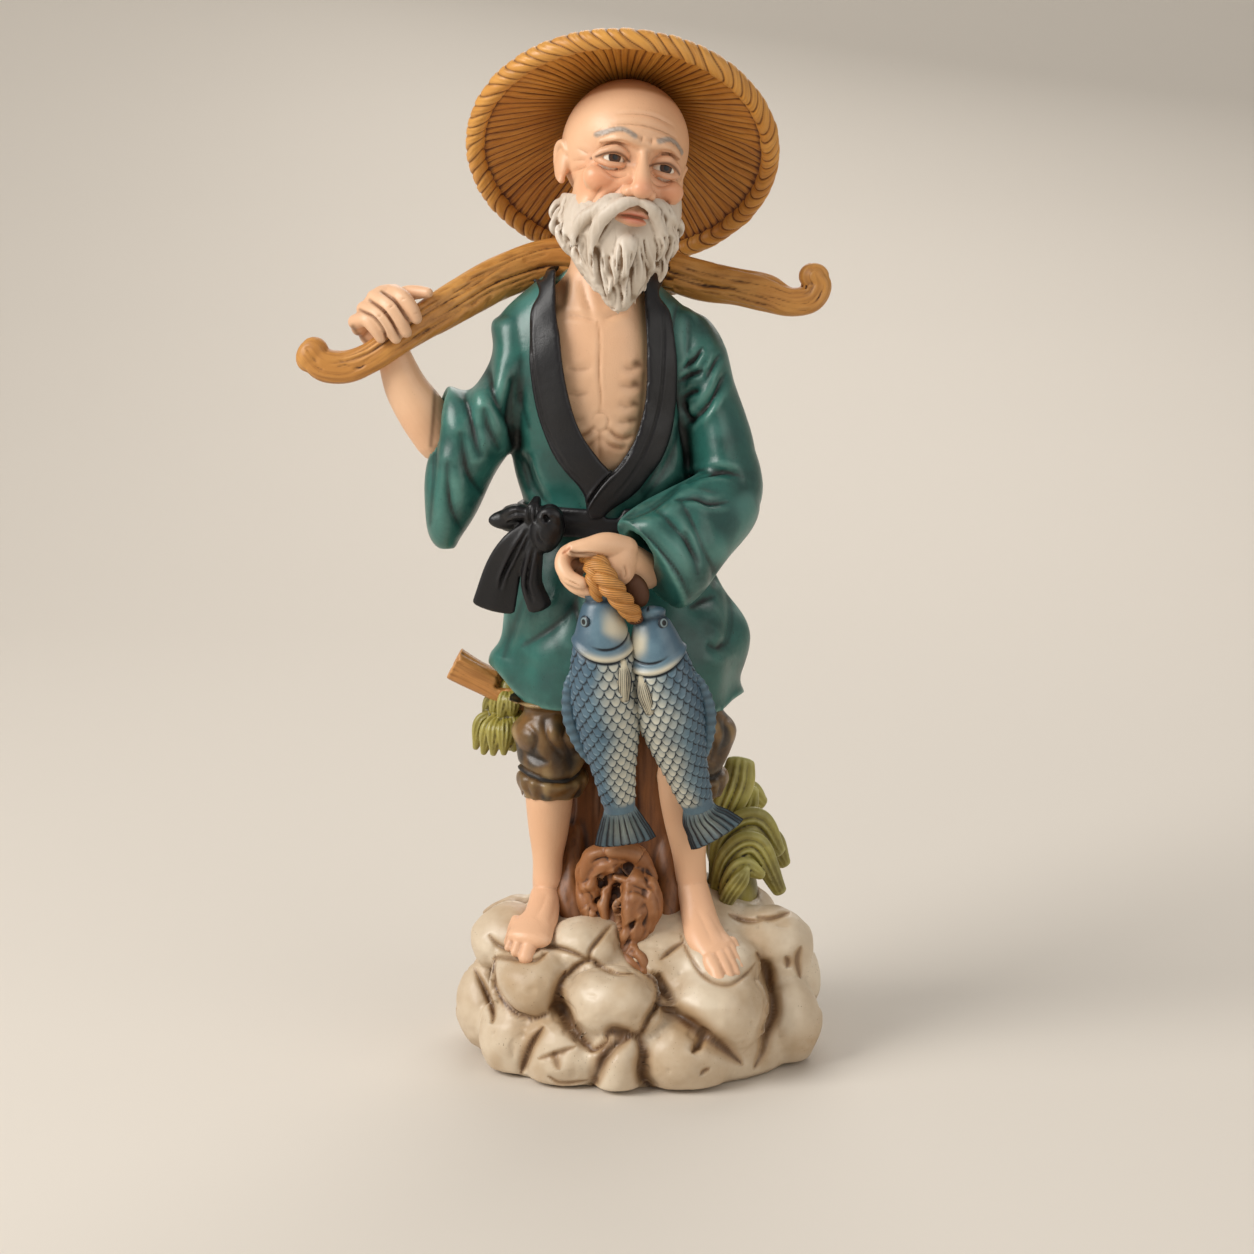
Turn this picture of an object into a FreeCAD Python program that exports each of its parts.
import FreeCAD, Part
import math
import os

# A painted bisque figurine: an old fisherman in a straw hat, with a shoulder yoke and two carp,
# stands on a mound of rocks in front of a tree stump.
#
# Millimetres. +Z is up, -Y is the front, and the origin is on the resting plane under the middle of
# the rocks. Right and left are the fisherman's own: the right hand holds the yoke, the left the fish.
#
# Every piece is cast in its own mould and stuck to its neighbours with slip, so a piece is first
# modelled whole, sunk a little way into what carries it, and then trimmed back to that surface.
#
# A table whose name ends in shares gives each section as shares of the piece's own named sizes.

V = FreeCAD.Vector
X_AXIS, Y_AXIS, Z_AXIS = V(1, 0, 0), V(0, 1, 0), V(0, 0, 1)
TURN = 2 * math.pi

overrun = 60.0                 # how far a cutting block runs past what it cuts
bedding = 1.2                  # how far a cast piece reaches into the one that it is stuck to
lump_degrees = (-72, -48, -24, 0, 24, 48, 72)   # where the rings of a lump lie round it

# Rock mound
base_width, base_depth, base_height = 101.0, 87.0, 48.0
base_wall = 5.0
vent_radius, vent_back = 4.0, 16.0
stone_size = 27.0
mound_shares = (               # height, shift back, half width, half depth
    (0.00, 0.00, 0.92, 0.92), (0.20, 0.00, 0.94, 0.94), (0.40, 0.01, 0.91, 0.90),
    (0.60, 0.03, 0.84, 0.80), (0.80, 0.07, 0.73, 0.66), (1.00, 0.13, 0.50, 0.40))
stone_angles = (               # degrees from the front towards the figure's left, one per stone
    -50, -10, 33, 71, 82, 90, -81, -55, -31, -8, 19, -79, -36, 46,
    112, 132, 154, 176, 200, 224, 248, 120, 165, 210, 250)
stone_shares = (               # height, reach; then across, deep and tall as shares of stone_size
    (0.56, 0.80, 0.52, 0.44, 0.42), (0.50, 0.82, 0.56, 0.40, 0.38), (0.42, 0.80, 0.58, 0.52, 0.46),
    (0.25, 0.90, 0.44, 0.38, 0.48), (0.66, 0.76, 0.46, 0.50, 0.46), (0.46, 0.90, 0.34, 0.32, 0.40),
    (0.32, 0.92, 0.40, 0.32, 0.46), (0.22, 0.89, 0.42, 0.36, 0.42), (0.19, 0.87, 0.46, 0.36, 0.40),
    (0.18, 0.90, 0.30, 0.34, 0.36), (0.20, 0.88, 0.54, 0.36, 0.40), (0.74, 0.76, 0.46, 0.46, 0.36),
    (0.76, 0.52, 0.44, 0.44, 0.30), (0.62, 0.62, 0.52, 0.50, 0.34),
    (0.26, 0.88, 0.52, 0.38, 0.48), (0.52, 0.84, 0.50, 0.42, 0.46), (0.24, 0.89, 0.56, 0.38, 0.44),
    (0.46, 0.87, 0.54, 0.40, 0.46), (0.24, 0.89, 0.56, 0.38, 0.44), (0.50, 0.85, 0.52, 0.42, 0.44),
    (0.28, 0.89, 0.54, 0.38, 0.48), (0.80, 0.66, 0.50, 0.46, 0.32), (0.78, 0.68, 0.54, 0.44, 0.34),
    (0.80, 0.66, 0.52, 0.46, 0.30), (0.66, 0.80, 0.44, 0.44, 0.40))

# Tree stump, its gnarled root, the sawn side branch and the two plants
stump_x, stump_y = -3.5, 9.0
stump_width, stump_depth = 40.0, 29.0
stump_flutes, stump_flute_share = 7, 0.045
stump_foot_sink = 16.0
stump_shares = (               # height, shift right, half width, half depth
    (0.00, 0.02, 1.30, 1.30), (0.22, 0.01, 1.10, 1.12), (0.45, 0.00, 0.96, 0.98),
    (0.75, 0.00, 0.92, 0.94), (1.00, 0.00, 0.98, 0.98))
root_width, root_depth, root_height = 26.0, 18.0, 36.0
root_lobe_shares = (           # right, front, height of the middle; then half width, depth, height
    (-0.02, 0.10, 0.82, 0.42, 0.42, 0.20), (-0.32, 0.20, 0.58, 0.20, 0.32, 0.36),
    (-0.22, 0.30, 0.28, 0.13, 0.24, 0.24), (0.24, 0.26, 0.42, 0.27, 0.40, 0.36))
root_toe_shares = (            # right, front, height, half width, half depth along the toe root
    (0.22, 0.30, 0.36, 0.24, 0.30), (0.22, 0.62, 0.12, 0.18, 0.22),
    (0.30, 0.98, -0.06, 0.13, 0.17), (0.42, 1.30, -0.22, 0.06, 0.09))
branch_length, branch_radius = 44.0, 4.5
branch_tip_x, branch_tip_y, branch_tip_z = -55.5, 8.0, 116.5
branch_rise_degrees = 28.0
branch_shares = ((0.00, 1.12), (0.10, 1.04), (0.35, 0.98), (0.70, 1.10), (1.00, 1.20))
pod_length, pod_radius = 11.0, 3.0
pod_shares = (                 # right, back and up from the hanging point, in pod lengths; lean degrees
    (-0.42, 0.00, -0.75, 30), (-0.62, 0.12, -1.25, 24), (-0.22, -0.22, -1.30, 8),
    (0.18, -0.20, -1.32, -6), (0.46, -0.08, -0.62, -10), (-0.30, 0.34, -1.05, 16),
    (0.22, 0.36, -1.12, -4), (0.06, -0.18, -0.62, 4), (-0.04, 0.28, -0.55, 8))
leaf_width, leaf_thick = 9.5, 4.2
clump_x, clump_y, clump_z = 28.0, 13.0, 42.0
clump_reach, clump_rise = 16.0, 44.0
leaf_path_shares = (           # foot, middle and tip of each leaf: right, back, up in clump sizes
    ((0.00, 0.00, 0.00), (0.10, 0.05, 0.52), (0.38, 0.05, 1.02)),
    ((0.10, 0.10, 0.00), (0.34, 0.18, 0.45), (0.56, 0.12, 0.86)),
    ((0.20, -0.10, 0.05), (0.52, -0.12, 0.46), (1.02, -0.10, 0.32)),
    ((0.00, -0.32, 0.02), (0.24, -0.42, 0.30), (0.72, -0.40, 0.34)),
    ((-0.10, 0.30, 0.00), (0.02, 0.58, 0.42), (0.30, 0.90, 0.60)),
    ((0.24, 0.30, 0.06), (0.66, 0.42, 0.26), (1.00, 0.40, 0.00)))
leaf_girth_shares = (0.62, 0.86, 1.00, 0.80, 0.34)

# Legs, feet and knee breeches
shin_height, shin_radius = 40.0, 7.6
shin_shares = ((0.00, 0.66), (0.18, 0.64), (0.45, 0.78), (0.72, 1.00), (1.00, 1.02))
foot_length, foot_width, foot_height = 34.0, 17.5, 11.0
foot_shares = (                # along the foot, height of the middle, half width, half height
    (-0.22, 0.50, 0.30, 0.42), (-0.12, 0.55, 0.50, 0.62), (0.12, 0.62, 0.60, 0.86),
    (0.40, 0.44, 0.78, 0.62), (0.66, 0.24, 1.00, 0.42), (0.78, 0.18, 0.92, 0.32))
toe_shares = (                 # across, how far along, half width and length of each toe
    (0.34, 0.86, 0.34, 0.26), (0.08, 0.90, 0.26, 0.22), (-0.12, 0.87, 0.25, 0.20),
    (-0.30, 0.82, 0.24, 0.19), (-0.46, 0.75, 0.22, 0.18))
toe_height_share = 0.22
right_ankle = V(-27.5, -6.0, 52.0)
left_ankle = V(15.8, -8.0, 50.0)
ankle_drop = 11.0
right_foot_degrees, left_foot_degrees = -17.0, 20.0
right_foot_fall_degrees, left_foot_fall_degrees = 8.0, 14.0
right_knee_shift, left_knee_shift = V(1.0, -2.0, 0.0), V(-3.5, -1.5, 0.0)
breeches_width, breeches_depth = 24.0, 25.0
breeches_shares = (            # height, half width, half depth
    (0.00, 0.76, 0.74), (0.10, 0.86, 0.84), (0.20, 0.86, 0.84), (0.30, 0.80, 0.78),
    (0.42, 0.92, 0.90), (0.60, 1.00, 1.00), (0.80, 0.94, 0.98), (1.00, 0.86, 0.92))
breeches_foot_z = 79.5
right_breeches, left_breeches = V(-26.0, -7.0, 0.0), V(15.5, -6.5, 0.0)

# Robe, chest, collar and sash
robe_x, robe_y = -9.0, 1.0
hem_height, shoulder_height = 107.5, 234.0
robe_width, robe_depth = 76.0, 52.0
robe_shares = (                # height, shift right, half width, half depth, depth of the folds
    (-0.08, 0.06, 0.98, 0.98, 0.036), (0.00, 0.06, 0.99, 0.99, 0.034),
    (0.07, 0.07, 1.00, 1.00, 0.028), (0.15, 0.08, 0.98, 0.97, 0.022),
    (0.24, 0.03, 0.85, 0.86, 0.018), (0.34, 0.01, 0.73, 0.75, 0.012), (0.43, 0.00, 0.64, 0.68, 0.0),
    (0.52, -0.02, 0.67, 0.70, 0.0), (0.64, -0.03, 0.73, 0.72, 0.0), (0.75, -0.05, 0.81, 0.70, 0.0),
    (0.84, -0.05, 0.82, 0.65, 0.0), (0.90, -0.05, 0.71, 0.58, 0.0), (0.95, -0.05, 0.53, 0.53, 0.0),
    (1.00, -0.05, 0.36, 0.47, 0.0))
hem_folds = 6
hem_tilt = 4.0
chest_width, chest_depth = 46.0, 32.0
waist_share = 0.43
chest_foot_share = 0.46
neck_radius, neck_height = 9.6, 20.0
chest_shares = (               # height up the chest, shift right, half width, half depth
    (0.00, -0.02, 0.70, 0.76), (0.22, -0.03, 0.86, 0.96), (0.45, -0.05, 0.98, 1.02),
    (0.68, -0.05, 1.00, 1.00), (0.82, -0.05, 0.84, 0.86), (0.91, -0.04, 0.60, 0.70))
neck_shares = ((0.00, 0.00, 1.06), (0.35, 0.08, 1.00), (1.00, 0.24, 0.98))
opening_width = 25.0           # between the collar's inner edges
opening_x = -12.0
opening_foot_share = 0.545     # where the collar's edges cross, up the robe
opening_shares = (             # height above the crossing, half width
    (0.00, 0.00), (0.12, 0.46), (0.36, 0.88), (0.62, 1.00), (0.86, 1.02), (1.10, 0.96))
collar_foot_share = 0.44       # where the collar meets the sash, up the robe
collar_shares = (              # height above the sash, half width
    (0.00, 0.14), (0.12, 0.66), (0.28, 1.30), (0.52, 1.64), (0.78, 1.62), (1.08, 1.40))
opening_slant = 4.0
collar_width, collar_thick = 8.0, 2.6
sash_width, sash_thick = 8.0, 2.4
knot_radius = 5.0
knot_place_share = V(-0.52, -0.66, 0.0)
bow_length = 14.0
long_tail, short_tail = 30.0, 25.0
tail_width, tail_thick = 8.5, 3.4

# Sleeves, arms and hands
sleeve_drop, sleeve_width, sleeve_depth = 67.0, 27.0, 29.0
right_sleeve_top = V(-37.0, 0.0, 220.0)
right_sleeve_shares = (        # fall, shift right, shift back, half width, half depth
    (0.00, 0.08, 0.00, 0.44, 0.56), (0.13, 0.04, -0.01, 0.62, 0.80), (0.26, -0.07, -0.04, 0.70, 0.92),
    (0.39, -0.32, -0.08, 0.95, 1.00), (0.52, -0.40, -0.11, 0.92, 1.00),
    (0.65, -0.55, -0.13, 0.78, 0.94), (0.78, -0.64, -0.15, 0.64, 0.80), (0.90, -0.71, -0.17, 0.46, 0.60),
    (1.00, -0.72, -0.18, 0.20, 0.26))
arm_radius = 6.4
right_elbow, right_wrist = V(-53.0, -4.0, 180.0), V(-70.5, -5.0, 207.5)
arm_shares = ((0.00, 0.92), (0.35, 1.00), (0.70, 0.90), (1.00, 0.76))
upper_sleeve_shares = (        # path: right, back, up in sleeve sizes from the shoulder; half sizes
    (-0.08, 0.02, 0.02, 0.30, 0.34), (0.04, 0.02, -0.10, 0.66, 0.72), (0.16, 0.00, -0.28, 0.80, 0.84),
    (0.30, -0.06, -0.48, 0.92, 0.90), (0.36, -0.16, -0.66, 0.90, 0.90), (0.28, -0.30, -0.80, 0.70, 0.76))
left_sleeve_top = V(17.0, 0.0, 219.0)
lower_sleeve_shares = (
    (0.42, -0.12, -0.72, 0.66, 0.62), (0.24, -0.42, -0.78, 0.86, 0.74),
    (-0.06, -0.78, -0.86, 1.00, 0.72), (-0.40, -1.06, -0.97, 1.18, 0.70), (-0.50, -1.13, -1.00, 1.14, 0.64))
left_wrist, left_palm = V(3.0, -31.0, 157.0), V(-9.0, -38.5, 155.0)
palm_width, palm_thick, finger_radius = 12.0, 9.0, 2.2
left_finger_shares = (         # knuckle, bend and tip of each finger, in palm widths from the palm
    ((-0.36, -0.24, 0.30), (-0.96, -0.28, 0.30), (-1.14, -0.12, -0.08)),
    ((-0.50, 0.06, 0.18), (-1.10, 0.00, 0.06), (-1.00, 0.02, -0.42)),
    ((-0.46, 0.10, -0.10), (-0.98, 0.08, -0.26), (-0.72, 0.02, -0.66)),
    ((0.30, -0.30, 0.20), (-0.20, -0.48, 0.42), (-0.76, -0.44, 0.42)))
hand_height = 13.0
right_palm = V(-72.5, -1.0, 219.0)
right_palm_lean_degrees, right_grip_degrees = 24, 28
right_palm_spread, right_palm_tall = 1.15, 1.6
right_finger_pitch, right_finger_rise, right_finger_reach = 1.5, 0.46, 6.0
right_finger_shares = (        # where each finger crosses the yoke, and how far it hangs down it
    (-0.42, 0.98), (-0.14, 1.06), (0.14, 1.02), (0.42, 0.88))

# Yoke
yoke_length, yoke_height, yoke_thick = 142.0, 12.4, 7.5
yoke_rise, yoke_sweep = 33.0, 20.0
yoke_left_end = V(-92.0, -8.0, 206.0)
yoke_shares = (                # along, sweep back, rise, half height, half thickness
    (0.00, 0.00, 0.00, 0.66, 0.90), (0.06, 0.00, 0.04, 0.74, 1.00), (0.13, 0.00, 0.20, 0.92, 1.00),
    (0.22, 0.14, 0.42, 1.02, 1.00), (0.33, 0.52, 0.68, 1.08, 1.00), (0.43, 0.86, 0.82, 1.12, 0.96),
    (0.52, 1.02, 0.84, 1.10, 0.92), (0.62, 1.06, 0.81, 1.04, 0.92), (0.72, 0.98, 0.76, 0.98, 0.96),
    (0.83, 0.76, 0.67, 0.86, 1.00), (0.92, 0.58, 0.57, 0.78, 1.00), (1.00, 0.44, 0.52, 0.68, 0.90))
scroll_radius, scroll_edge = 5.6, 1.6
notch_radius = 3.2
left_scroll_shares = ((-0.20, 0.46, 1.04),)                         # across, up, radius
right_scroll_shares = ((0.02, 0.30, 0.80), (0.00, 1.18, 0.84))
left_notch_share, right_notch_share = (1.56, 2.32), (-1.75, 2.00)   # across, up, in notch radii

# Head, beard and hat
head_centre = V(-5.0, -5.5, 262.5)
head_width, head_depth, head_height = 36.5, 41.0, 50.0
head_yaw, head_roll, head_nod = 16.0, 8.0, -6.0
head_shares = (                # height, shift back, half width, half depth
    (-0.50, -0.20, 0.16, 0.16), (-0.45, -0.17, 0.40, 0.40), (-0.32, -0.10, 0.66, 0.70),
    (-0.12, -0.03, 0.86, 0.92), (0.08, 0.00, 0.97, 1.00), (0.24, 0.01, 1.00, 1.00),
    (0.37, 0.02, 0.85, 0.85), (0.46, 0.02, 0.55, 0.55), (0.50, 0.02, 0.16, 0.16))
nose_length, nose_width, nose_reach = 12.0, 8.0, 5.0
ear_height, ear_width, ear_thick = 14.0, 8.0, 4.4
beard_width, beard_depth, beard_drop = 37.0, 34.0, 34.0
beard_shares = (               # fall, shift right, shift front, half width, half depth
    (0.00, 0.00, 0.00, 0.93, 0.86), (0.16, -0.01, 0.05, 0.98, 1.00), (0.34, -0.02, 0.12, 0.92, 0.94),
    (0.52, -0.03, 0.20, 0.76, 0.76), (0.70, -0.03, 0.27, 0.56, 0.56), (0.86, -0.02, 0.32, 0.34, 0.34),
    (1.00, -0.01, 0.34, 0.12, 0.14))
beard_top = V(-5.5, -8.0, 256.0)
moustache_length, moustache_radius = 15.0, 3.2
hat_radius, hat_rise, hat_wall = 42.6, 21.0, 2.6
hat_centre = V(-5.0, 5.5, 268.0)
hat_tilt, hat_lean = 46.0, 3.0
straw_ribs, straw_depth_share = 72, 0.014
hat_shares = (                 # reach, rise, depth of the ribs as a share of straw_depth_share
    (1.00, 0.00, 0.0), (0.92, 0.11, 1.0), (0.66, 0.44, 1.0), (0.36, 0.76, 1.0), (0.12, 0.96, 1.0))
binding_radius, binding_wraps, binding_nip_share = 2.7, 48, 0.84
seat_radius, seat_gap = 13.0, 0.25

# Carp and their straw rope
fish_width, fish_depth = 20.0, 15.0
fish_shares = (                # along from the mouth, half width, half depth
    (0.00, 0.34, 0.40), (0.10, 0.72, 0.74), (0.22, 0.92, 0.94), (0.36, 1.00, 1.00),
    (0.50, 0.98, 0.98), (0.66, 0.82, 0.80), (0.82, 0.60, 0.58), (1.00, 0.44, 0.38))
tail_fin_shares = ((0.00, 0.40, 0.34), (0.50, 0.56, 0.26), (1.00, 0.80, 0.20))
tail_fin_length = 12.0
back_fin_length, back_fin_height, back_fin_thick = 30.0, 3.6, 2.6
right_fish_path = (V(-9.5, -38.0, 145.0), V(-8.6, -37.0, 113.0), V(-5.8, -27.5, 80.0))
left_fish_path = (V(5.5, -36.5, 143.0), V(10.6, -36.0, 112.0), V(19.0, -25.5, 79.0))
rope_radius = 2.7
rope_knot = V(-13.5, -41.5, 153.5)


def ring(centre, across, deep, u=X_AXIS, v=Y_AXIS, power=2.0, waves=0, swing=0.0, points=16):
    """A smooth closed curve with half sizes across along u and deep along v."""
    count = max(points, 4 * waves)
    places = []
    for i in range(count):
        t = TURN * (i / count + 1 / 4)
        c, s = math.cos(t), math.sin(t)
        grow = 1 + swing * math.cos(waves * t)
        places.append(centre + u * (across * grow * math.copysign(abs(c) ** (2 / power), c))
                      + v * (deep * grow * math.copysign(abs(s) ** (2 / power), s)))
    curve = Part.BSplineCurve()
    curve.interpolate(Points=places, PeriodicFlag=True)
    return Part.Wire([curve.toShape()])


def skin(rings, ruled=False):
    """A closed solid through the rings, turned the right way out."""
    solid = Part.makeLoft(rings, True, ruled)
    if solid.Volume < 0:
        solid.reverse()
    return solid


def frames(path):
    """The two directions square to a path at each of its points, the second as level as can be."""
    found = []
    for i, here in enumerate(path):
        before, after = path[max(i - 1, 0)], path[min(i + 1, len(path) - 1)]
        along = (after - before).normalize()
        side = along.cross(Y_AXIS).normalize()
        found.append((side, side.cross(along).normalize()))
    return found


def limb(path, across, deep, power=2.0):
    """A solid along a path, with a half size either way at each point."""
    rings = [ring(p, a, d, u, v, power)
             for p, a, d, (u, v) in zip(path, across, deep, frames(path))]
    return skin(rings)


def arc_path(foot, middle, tip, count):
    """Points along the smooth curve that runs through three places."""
    handle = middle * 2 - (foot + tip) * 0.5
    steps = [i / (count - 1) for i in range(count)]
    return [foot * (1 - t) ** 2 + handle * (2 * t * (1 - t)) + tip * t ** 2 for t in steps]


def pebble(centre, across, deep, tall, turn_degrees=0.0, lean_degrees=0.0):
    """An egg shape with three half sizes, leant over and then turned about the upright."""
    ball = Part.makeSphere(1)
    stretch = FreeCAD.Matrix()
    stretch.scale(across, deep, tall)
    egg = ball.transformGeometry(stretch)
    egg.rotate(V(0, 0, 0), Y_AXIS, lean_degrees)
    egg.rotate(V(0, 0, 0), Z_AXIS, turn_degrees)
    egg.translate(centre)
    return egg


def lump(centre, across, deep, tall, lie_degrees=0.0):
    """An egg of stacked rings, with its seam at the back, leant towards the front by lie_degrees."""
    rings = []
    for degrees in lump_degrees:
        a = math.radians(degrees)
        rings.append(ring(V(0, 0, tall * math.sin(a)), across * math.cos(a), deep * math.cos(a)))
    egg = skin(rings)
    egg.rotate(V(0, 0, 0), X_AXIS, lie_degrees)
    egg.translate(centre)
    return egg


def whole(shape):
    """The one body that a cut leaves, without any crumbs cut loose beside it."""
    return max(shape.Solids, key=lambda solid: solid.Volume)


def seated(raw, *carriers):
    """A raw casting trimmed back to the faces of what carries it."""
    for carrier in carriers:
        raw = whole(raw.cut(carrier))
    return raw


def joined(first, *others):
    """Clay pressed together into one casting."""
    return whole(first.fuse(list(others)))


def at_share(share):
    """Height that far up the robe."""
    return hem_height + share * (shoulder_height - hem_height)


def rock_base():
    rings = []
    for up, back, wide, deep in mound_shares:
        middle = V(0, back * base_depth, up * base_height)
        rings.append(ring(middle, wide * base_width / 2, deep * base_depth / 2, power=2.3))
    mound = skin(rings)
    stones = []
    for angle, (up, reach, across, deep, tall) in zip(stone_angles, stone_shares):
        a = math.radians(angle)
        middle = V(math.sin(a) * reach * base_width / 2, -math.cos(a) * reach * base_depth / 2,
                   up * base_height)
        stones.append(pebble(middle, across * stone_size, deep * stone_size, tall * stone_size, angle))
    rocks = joined(mound, *stones)
    below = Part.makeBox(base_width + 2 * overrun, base_depth + 2 * overrun, overrun,
                         V(-base_width / 2 - overrun, -base_depth / 2 - overrun, -overrun))
    rocks = whole(rocks.cut(below))
    hollow = skin([ring(V(0, back * base_depth, base_wall + up * (base_height - 3 * base_wall)),
                        wide * base_width / 2 - 2 * base_wall, deep * base_depth / 2 - 2 * base_wall)
                   for up, back, wide, deep in mound_shares[:-1]])
    vent = Part.makeCylinder(vent_radius, 2 * base_wall, V(0, vent_back, -base_wall / 2))
    return whole(rocks.cut([hollow, vent]))


def tree_stump():
    foot = base_height - stump_foot_sink
    height = hem_height + 2 * hem_tilt - foot
    return skin([ring(V(stump_x + right * stump_width, stump_y, foot + up * height),
                      wide * stump_width / 2, deep * stump_depth / 2,
                      waves=stump_flutes, swing=stump_flute_share)
                 for up, right, wide, deep in stump_shares])


def stump_root():
    corner = V(stump_x, stump_y - stump_depth / 2, base_height - stump_foot_sink / 2)
    lobes = [lump(corner + V(right * root_width, -front * root_depth, up * root_height - bedding),
                   wide * root_width, deep * root_depth, tall * root_height)
             for right, front, up, wide, deep, tall in root_lobe_shares]
    path = [corner + V(right * root_width, -front * root_depth, up * root_height)
            for right, front, up, _, _ in root_toe_shares]
    toe = limb(path, [row[3] * root_width for row in root_toe_shares],
               [row[4] * root_depth for row in root_toe_shares])
    return joined(lobes[0], toe, *lobes[1:])


def side_branch():
    tip = V(branch_tip_x, branch_tip_y, branch_tip_z)
    a = math.radians(branch_rise_degrees)
    along = V(math.cos(a), 0, -math.sin(a))
    path = [tip + along * (share * branch_length) for share, _ in branch_shares]
    girth = [share * branch_radius for _, share in branch_shares]
    return limb(path, girth, girth, power=2.4)


def leaf_bunch():
    a = math.radians(branch_rise_degrees)
    hang = V(branch_tip_x, branch_tip_y, branch_tip_z) + V(math.cos(a), 0, -math.sin(a)) * (
        branch_length / 3) + V(0, 0, bedding - branch_radius / 2)
    pods = [pebble(hang + V(right, back, up) * pod_length, pod_radius, pod_radius, pod_length / 2,
                   lean_degrees=lean)
            for right, back, up, lean in pod_shares]
    stalk = limb([hang, hang - Z_AXIS * (pod_length / 2), hang - Z_AXIS * pod_length],
                 [pod_radius, pod_radius, pod_radius * 2], [pod_radius, pod_radius, pod_radius * 2])
    return joined(stalk, *pods)


def leaf_clump():
    leaves = []
    for foot, middle, tip in leaf_path_shares:
        places = [V(clump_x + r * clump_reach, clump_y + b * clump_reach, clump_z + u * clump_rise)
                  for r, b, u in (foot, middle, tip)]
        path = arc_path(*places, len(leaf_girth_shares))
        wide = [share * leaf_width / 2 for share in leaf_girth_shares]
        thick = [share * leaf_thick / 2 for share in leaf_girth_shares]
        leaves.append(limb(path, wide, thick))
    heart = pebble(V(clump_x, clump_y, clump_z), clump_reach / 2, clump_reach / 2, clump_rise / 4)
    return joined(heart, *leaves)


def leg(ankle, knee_shift, foot_degrees, fall_degrees, outer):
    """A bare leg from under the knee down, with its foot. outer is 1 if the little toe is at +X."""
    path = [ankle + V(0, 0, up * shin_height - bedding) + knee_shift * up for up, _ in shin_shares]
    girth = [share * shin_radius for _, share in shin_shares]
    shin = limb(path, girth, girth)
    sole = ankle - Z_AXIS * ankle_drop
    rings = [ring(V(0, -along * foot_length, up * foot_height), wide * foot_width / 2,
                  tall * foot_height / 2, X_AXIS, Z_AXIS)
             for along, up, wide, tall in foot_shares]
    foot = skin(rings)
    toes = [lump(V(-outer * across * foot_width, -along * foot_length, toe_height_share * foot_height),
                 wide * foot_width / 2, wide * foot_width / 2, length * foot_length / 2, lie_degrees=90)
            for across, along, wide, length in toe_shares]
    foot = joined(foot, *toes)
    foot.rotate(V(0, 0, 0), X_AXIS, fall_degrees)
    foot.rotate(V(0, 0, 0), Z_AXIS, foot_degrees)
    foot.translate(sole)
    return joined(shin, foot)


def breeches_leg(place):
    height = hem_height + 2 * hem_tilt - breeches_foot_z
    return skin([ring(V(place.x, place.y, breeches_foot_z + up * height),
                      wide * breeches_width / 2, deep * breeches_depth / 2)
                 for up, wide, deep in breeches_shares])


def robe_form(spare=0.0):
    """The robe's outer shape, made larger all round by spare."""
    rings = []
    for up, right, wide, deep, fold in robe_shares:
        rings.append(ring(V(robe_x + right * robe_width, robe_y, at_share(up)),
                          wide * robe_width / 2 + spare, deep * robe_depth / 2 + spare,
                          waves=hem_folds, swing=fold, points=24))
    return skin(rings)


def chest_and_neck():
    foot = at_share(chest_foot_share)
    height = shoulder_height - foot
    rings = [ring(V(robe_x + right * robe_width, robe_y, foot + up * height),
                  wide * chest_width / 2, deep * chest_depth / 2)
             for up, right, wide, deep in chest_shares]
    last_shift = chest_shares[-1][1]
    for up, right, wide in neck_shares:
        rings.append(ring(V(robe_x + last_shift * robe_width + right * neck_height,
                            robe_y - up * bedding, shoulder_height - collar_thick + up * neck_height),
                          wide * neck_radius, wide * neck_radius))
    return skin(rings)


def smooth_edge(points):
    curve = Part.BSplineCurve()
    curve.interpolate(Points=points)
    return curve.toShape()


def front_block(foot_share, shares):
    """A block through the robe's front with curved sides, from foot_share up the robe."""
    foot = at_share(foot_share)
    height = shoulder_height - foot
    left, right = [], []
    for up, wide in shares:
        reach = wide * opening_width / 2
        middle = V(opening_x + opening_slant * (1 - min(up, 1)), robe_y, foot + up * height)
        left.append(middle - X_AXIS * reach)
        right.append(middle + X_AXIS * reach)
    edges = [smooth_edge(left), Part.makeLine(left[-1], right[-1]), smooth_edge(right)]
    if shares[0][1] > 0:
        edges.append(Part.makeLine(left[0], right[0]))
    face = Part.Face(Part.Wire(Part.__sortEdges__(edges)))
    return face.extrude(V(0, -overrun, 0))


def below_hem():
    """Everything under the robe's hem, which rises a little towards the right hand."""
    block = Part.makeBox(2 * robe_width, 2 * robe_depth, 2 * overrun,
                         V(robe_x - robe_width, robe_y - robe_depth, hem_height - 2 * overrun))
    block.rotate(V(robe_x, robe_y, hem_height), Y_AXIS, math.degrees(math.atan2(hem_tilt, robe_width)))
    return block


def robe(form, chest):
    return whole(form.cut(chest).cut(below_hem()).cut(front_block(opening_foot_share, opening_shares)))


def collar_band(form, chest):
    stock = robe_form(collar_thick).cut(form)
    opening = front_block(opening_foot_share, opening_shares)
    front = stock.common(front_block(collar_foot_share, collar_shares).cut(opening))
    back = stock.common(Part.makeBox(robe_width, robe_depth, 2 * collar_width,
                                     V(robe_x - robe_width / 2, robe_y, shoulder_height - collar_width)))
    return whole(front.fuse(back).cut(chest))


def sash(form):
    stock = robe_form(sash_thick).cut(form)
    slab = Part.makeBox(2 * robe_width, 2 * robe_depth, sash_width,
                        V(robe_x - robe_width, robe_y - robe_depth, at_share(waist_share) - sash_width / 2))
    return whole(stock.common(slab))


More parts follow.
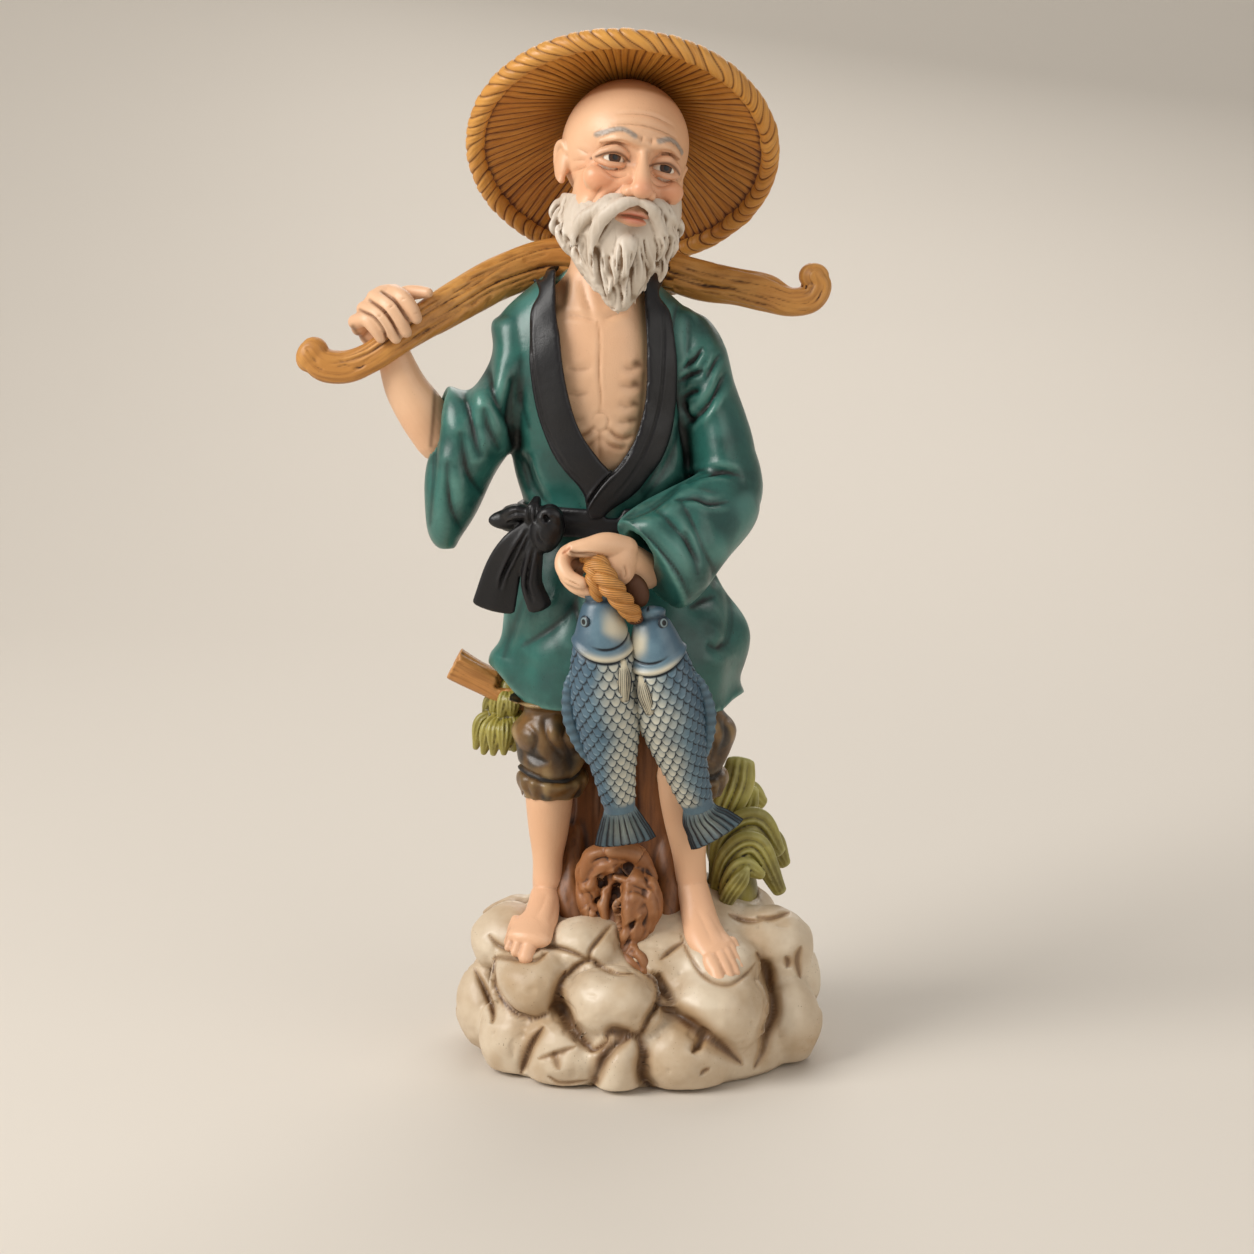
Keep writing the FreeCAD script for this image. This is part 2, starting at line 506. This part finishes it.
def tail(start, fall, width, length):
    """One hanging end of the sash."""
    path = [start + fall * (share * length) for share in (0.0, 0.3, 0.65, 1.0)]
    wide = [width / 2 * share for share in (0.55, 0.80, 1.0, 1.05)]
    return limb(path, wide, [tail_thick / 2] * len(path), power=3.0)


def sash_bow():
    waist = at_share(waist_share)
    middle = V(robe_x + knot_place_share.x * robe_width / 2,
               robe_y + knot_place_share.y * robe_depth / 2 - sash_thick, waist)
    knot = pebble(middle, knot_radius, knot_radius, knot_radius * 1.1)
    loop = pebble(middle + V(-bow_length * 0.62, bow_length * 0.28, knot_radius * 0.35),
                  bow_length / 2, knot_radius * 0.7, knot_radius, lean_degrees=-8)
    long_end = tail(middle, V(-0.50, 0.14, -0.86), tail_width, long_tail)
    short_end = tail(middle, V(-0.10, -0.02, -1.0), tail_width * 0.7, short_tail)
    return joined(knot, loop, long_end, short_end)


def right_sleeve():
    rings = [ring(right_sleeve_top + V(right * sleeve_width, back * sleeve_depth, -fall * sleeve_drop),
                  wide * sleeve_width / 2, deep * sleeve_depth / 2)
             for fall, right, back, wide, deep in right_sleeve_shares]
    return skin(rings)


def path_limb(origin, shares, size, height):
    path = [origin + V(r * size, b * size, u * height) for r, b, u, _, _ in shares]
    return limb(path, [row[3] * sleeve_width / 2 for row in shares],
                [row[4] * sleeve_depth / 2 for row in shares])


def left_sleeve():
    upper = path_limb(left_sleeve_top, upper_sleeve_shares, sleeve_depth, sleeve_drop)
    lower = path_limb(left_sleeve_top, lower_sleeve_shares, sleeve_depth, sleeve_drop)
    return joined(upper, lower)


def finger(places, radius):
    """A bent finger: two straight lengths with a ball at each end and at the bend."""
    parts = []
    for place in places:
        parts.append(Part.makeSphere(radius, place))
    for start, end in zip(places, places[1:]):
        parts.append(Part.makeCylinder(radius, start.distanceToPoint(end), start, end - start))
    return joined(parts[0], *parts[1:])


def right_arm():
    path = [right_elbow + (right_wrist - right_elbow) * share for share, _ in arm_shares]
    girth = [share * arm_radius for _, share in arm_shares]
    forearm = limb(path, girth, girth)
    palm = pebble(right_palm, palm_width / 2 * right_palm_spread, palm_thick / 2, hand_height / right_palm_tall,
                  lean_degrees=right_palm_lean_degrees)
    wrist = pebble(right_wrist, arm_radius * 0.8, arm_radius * 0.8, arm_radius * 1.2)
    fingers = []
    slope = math.radians(right_grip_degrees)
    along = V(math.cos(slope), 0, math.sin(slope))
    down = V(math.sin(slope), 0, -math.cos(slope))
    for shift, drop in right_finger_shares:
        top = right_palm + along * (shift * palm_width * right_finger_pitch) - down * (
            hand_height * right_finger_rise)
        front = V(0, -yoke_thick / 2 - finger_radius * 0.7 - right_finger_reach, 0)
        places = [top, top + front + down * finger_radius,
                  top + front + down * (drop * hand_height)]
        fingers.append(finger(places, finger_radius))
    return joined(forearm, palm, wrist, *fingers)


def left_hand():
    palm = lump(left_palm, palm_width * 0.62, palm_thick / 2, palm_width / 2)
    wrist = limb([left_wrist + (left_wrist - left_palm) * 0.5, left_wrist, left_palm],
                 [arm_radius * 0.80, arm_radius * 0.84, arm_radius * 0.80],
                 [arm_radius * 0.76, arm_radius * 0.80, arm_radius * 0.70])
    fingers = [finger([left_palm + place_of(p) for p in row], finger_radius)
               for row in left_finger_shares]
    return joined(palm, wrist, *fingers)


def place_of(share):
    return V(*share) * palm_width


def yoke():
    start = yoke_left_end
    path = [start + V(along * yoke_length, back * yoke_sweep, rise * yoke_rise)
            for along, back, rise, _, _ in yoke_shares]
    beam = limb(path, [row[3] * yoke_height / 2 for row in yoke_shares],
                [row[4] * yoke_thick / 2 for row in yoke_shares], power=3.4)
    for end, discs, (across, up) in ((path[0], left_scroll_shares, left_notch_share),
                                     (path[-1], right_scroll_shares, right_notch_share)):
        notch = Part.makeCylinder(notch_radius, 2 * yoke_thick,
                                  end + V(across * notch_radius, -yoke_thick, up * notch_radius), Y_AXIS)
        beam = whole(beam.cut(notch))
        for right, rise, size in discs:
            radius = size * scroll_radius
            disc = Part.makeCylinder(radius, yoke_thick, end + V(right * scroll_radius, -yoke_thick / 2,
                                                                 rise * scroll_radius), Y_AXIS)
            beam = joined(beam, disc.makeFillet(scroll_edge, disc.Edges))
    return beam


def posed_head(shape):
    """Turns a shape modelled about the head's middle to the way the head looks."""
    shape.rotate(V(0, 0, 0), X_AXIS, head_nod)
    shape.rotate(V(0, 0, 0), Y_AXIS, head_roll)
    shape.rotate(V(0, 0, 0), Z_AXIS, head_yaw)
    shape.translate(head_centre)
    return shape


def head():
    skull = skin([ring(V(0, back * head_depth, up * head_height), wide * head_width / 2,
                       deep * head_depth / 2)
                  for up, back, wide, deep in head_shares])
    front = -head_depth / 2
    nose = skin([ring(V(0, front + nose_reach * 0.4, nose_length * 0.5), nose_width * 0.20, nose_reach * 0.4),
                 ring(V(0, front, 0), nose_width * 0.26, nose_reach * 0.55),
                 ring(V(0, front - nose_reach * 0.25, -nose_length * 0.32), nose_width * 0.46,
                      nose_reach * 0.75),
                 ring(V(0, front + nose_reach * 0.1, -nose_length * 0.5), nose_width * 0.34,
                      nose_reach * 0.5)])
    ears = [pebble(V(side * (head_width / 2 - ear_thick / 4), 0, 0), ear_thick / 2, ear_width / 2,
                   ear_height / 2) for side in (-1, 1)]
    return posed_head(joined(skull, nose, *ears))


def beard():
    rings = [ring(beard_top + V(right * beard_width, -front * beard_depth, -fall * beard_drop),
                  wide * beard_width / 2, deep * beard_depth / 2)
             for fall, right, front, wide, deep in beard_shares]
    mass = skin(rings)
    locks = []
    for side in (-1, 1):
        lock = pebble(V(side * moustache_length * 0.44, moustache_radius - head_depth / 2,
                        -head_height * 0.24), moustache_length / 2, moustache_radius, moustache_radius,
                      lean_degrees=side * 30)
        locks.append(posed_head(lock))
    return joined(mass, *locks)


def posed_hat(shape):
    """Turns a shape modelled about the middle of the rim, with its peak up, to sit on the head."""
    shape.rotate(V(0, 0, 0), X_AXIS, -hat_tilt)
    shape.rotate(V(0, 0, 0), Y_AXIS, hat_lean)
    shape.translate(hat_centre)
    return shape


def pleated_rings(drop):
    """Rings up the hat's cone, lowered by drop, with a ridge and a valley for each straw."""
    rim = hat_radius - binding_radius
    rings = []
    for reach, rise, depth in hat_shares:
        corners = []
        for i in range(2 * straw_ribs):
            a = TURN * i / (2 * straw_ribs)
            r = reach * rim * (1 + depth * straw_depth_share * (1 if i % 2 else -1))
            corners.append(V(r * math.cos(a), r * math.sin(a), rise * hat_rise - drop))
        rings.append(Part.makePolygon(corners + corners[:1]))
    return rings


def straw_hat():
    """Two pleated skins, a wall's thickness apart, closed at the rim and the peak."""
    over, under = pleated_rings(0), pleated_rings(hat_wall)
    faces = [Part.Face(over[-1]), Part.Face(under[-1])]
    for rings in (over, under, [over[0], under[0]]):
        faces += Part.makeLoft(rings, False, True).Faces
    shell = Part.makeShell(faces)
    shell.sewShape()
    solid = Part.makeSolid(shell)
    if solid.Volume < 0:
        solid.reverse()
    return posed_hat(solid)


def hat_binding():
    """Straw wrapped over the rim: one closed tube, nipped in between the wraps."""
    rings = []
    for i in range(2 * binding_wraps):
        a = TURN * i / (2 * binding_wraps)
        out = V(math.cos(a), math.sin(a), 0)
        size = binding_radius if i % 2 else binding_radius * binding_nip_share
        rings.append(ring(out * hat_radius - Z_AXIS * (hat_wall / 2), size, size, out, Z_AXIS, points=8))
    tube = Part.makeLoft(rings, True, True, True)
    return posed_hat(tube)


def hat_seat():
    """The pad of clay that fills the hat's peak and bears on the crown of the head."""
    peak = [(reach * (hat_radius - binding_radius) - seat_gap, rise * hat_rise - hat_wall - seat_gap)
            for reach, rise, _ in hat_shares[-2:]]
    profile = [V(0, 0, 0), V(seat_radius, 0, 0), V(peak[0][0], 0, peak[0][1]), V(peak[1][0], 0, peak[1][1]),
               V(0, 0, peak[1][1])]
    section = Part.Face(Part.makePolygon(profile + profile[:1]))
    return posed_hat(section.revolve(V(0, 0, 0), Z_AXIS, 360).Solids[0])


def fish(places, fin_side):
    """A carp hung by the mouth. fin_side is the side, -1 or 1 along X, that its back is on."""
    path = arc_path(*places, len(fish_shares))
    body = limb(path, [w * fish_width / 2 for _, w, _ in fish_shares],
                [d * fish_depth / 2 for _, _, d in fish_shares])
    along = (path[-1] - path[-2]).normalize()
    fin_path = [path[-1] + along * (share * tail_fin_length - bedding) for share, _, _ in tail_fin_shares]
    fin = limb(fin_path, [w * fish_width / 2 for _, w, _ in tail_fin_shares],
               [d * fish_depth / 2 for _, _, d in tail_fin_shares], power=3.0)
    middle = len(path) // 2
    run = (path[middle + 1] - path[middle - 1]).normalize()
    side = Y_AXIS.cross(run).normalize()
    side = side * math.copysign(1, side.x * fin_side)
    spine = [path[middle] + run * (shift * back_fin_length) for shift in (-0.5, 0.0, 0.5)]
    reach = [fish_width / 2, fish_width / 2 + back_fin_height, fish_width * 0.4]
    outline = [p + side * r for p, r in zip(spine, reach)]
    web = Part.Face(Part.Wire([smooth_edge(outline), Part.makeLine(outline[-1], spine[-1]),
                               Part.makeLine(spine[-1], spine[0]), Part.makeLine(spine[0], outline[0])]))
    normal = web.normalAt(0, 0)
    web.translate(normal * (-back_fin_thick / 2))
    return joined(body, fin, web.extrude(normal * back_fin_thick))


def rope():
    """The straw rope from the fist to the two mouths."""
    arms = []
    for mouth, *_ in (right_fish_path, left_fish_path):
        end = mouth - Z_AXIS * rope_radius
        middle = (rope_knot + end) * 0.5 + V(0, -rope_radius / 2, rope_radius / 3)
        arms.append(limb([rope_knot, middle, end], [rope_radius] * 3, [rope_radius] * 3))
    return joined(arms[0], arms[1])


def main():
    base = rock_base()
    hem = below_hem()
    stump = seated(whole(tree_stump().common(hem)), base)
    chest = chest_and_neck()
    form = robe_form()
    coat = robe(form, chest)
    legs = {"right_leg": leg(right_ankle, right_knee_shift, right_foot_degrees, right_foot_fall_degrees, -1),
            "left_leg": leg(left_ankle, left_knee_shift, left_foot_degrees, left_foot_fall_degrees, 1)}
    legs = {name: seated(raw, base, stump) for name, raw in legs.items()}
    places = {"right": right_breeches, "left": left_breeches}
    breeches = {f"{side}_breeches": seated(whole(breeches_leg(place).common(hem)), stump, legs[f"{side}_leg"])
                for side, place in places.items()}
    root = seated(stump_root(), base, stump, legs["right_leg"], legs["left_leg"])
    branch = seated(side_branch(), stump, coat, breeches["right_breeches"])
    bunch = seated(leaf_bunch(), branch, breeches["right_breeches"], coat, stump)
    clump = seated(leaf_clump(), base, stump, legs["left_leg"], breeches["left_breeches"])
    collar = collar_band(form, chest)
    belt = seated(sash(form), collar)
    bow = seated(sash_bow(), belt, coat)
    beam = seated(yoke(), chest, coat, collar)
    arm = seated(right_arm(), beam)
    sleeve_right = seated(right_sleeve(), coat, arm, beam, bow)
    hand = seated(left_hand(), coat, belt)
    sleeve_left = seated(left_sleeve(), coat, collar, belt, hand, beam)
    skull = seated(head(), chest, beam)
    whiskers = seated(beard(), skull, chest, collar, coat, beam)
    hat = straw_hat()
    binding = hat_binding()
    pad = seated(hat_seat(), skull)
    cord = seated(rope(), hand)
    carp_right = seated(fish(right_fish_path, -1), cord, hand, coat, sleeve_left, stump,
                        breeches["right_breeches"])
    carp_left = seated(fish(left_fish_path, 1), carp_right, cord, hand, coat, sleeve_left, stump,
                       legs["left_leg"], breeches["left_breeches"])
    pieces = {"rock_base": base, "tree_stump": stump, "stump_root": root, "side_branch": branch,
              "leaf_bunch": bunch, "leaf_clump": clump, "chest_and_neck": chest, "robe": coat,
              "collar_band": collar, "sash": belt, "sash_bow": bow, "yoke": beam, "right_arm": arm,
              "right_sleeve": sleeve_right, "left_sleeve": sleeve_left, "left_hand": hand, "head": skull,
              "beard": whiskers, "straw_hat": hat, "hat_binding": binding, "hat_seat": pad,
              "straw_rope": cord, "right_carp": carp_right, "left_carp": carp_left, **legs, **breeches}
    os.makedirs("parts", exist_ok=True)
    for name, solid in pieces.items():
        if not solid.isValid() or solid.Volume <= 0:
            raise ValueError(f"{name} is not a sound solid")
        solid.exportStep(f"parts/{name}.step")


main()
